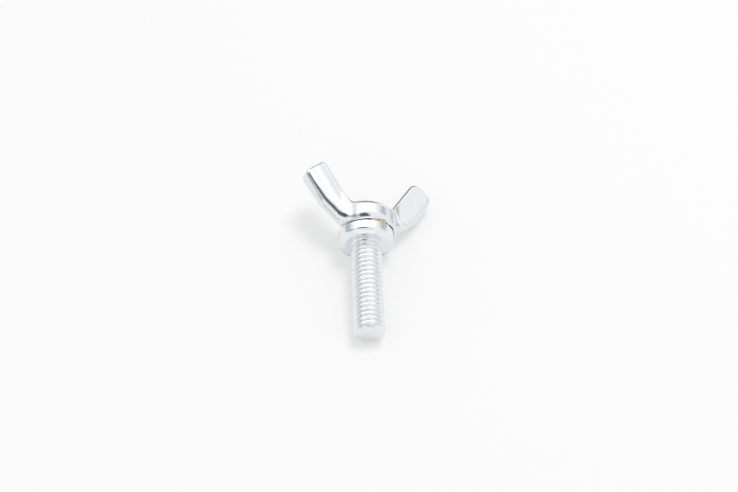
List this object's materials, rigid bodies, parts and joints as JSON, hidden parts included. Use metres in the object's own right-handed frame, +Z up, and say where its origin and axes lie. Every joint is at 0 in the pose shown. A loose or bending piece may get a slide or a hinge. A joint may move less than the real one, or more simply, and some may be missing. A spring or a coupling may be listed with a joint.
{
  "type": "wing bolt",
  "caption": "Zinc-plated steel wing bolt with a metric M6 screw, a round collar and a forged V-shaped wing head welded on.",
  "frame": {"origin": "centre of the bounding box's base, on the table that the bolt lies on", "axes": "+Z up; the screw's axis runs along Y with its end towards -Y and lower; the wings spread along X, with the right wing's tip on the table"},
  "size_m": [0.025, 0.0366, 0.013],
  "materials": {
    "screw_zinc": "satin",
    "head_zinc": "bright zinc plate"
  },
  "bodies": {
    "root": {"threaded_stud": "screw_zinc", "wing_head": "head_zinc"}
  },
  "joints": []
}
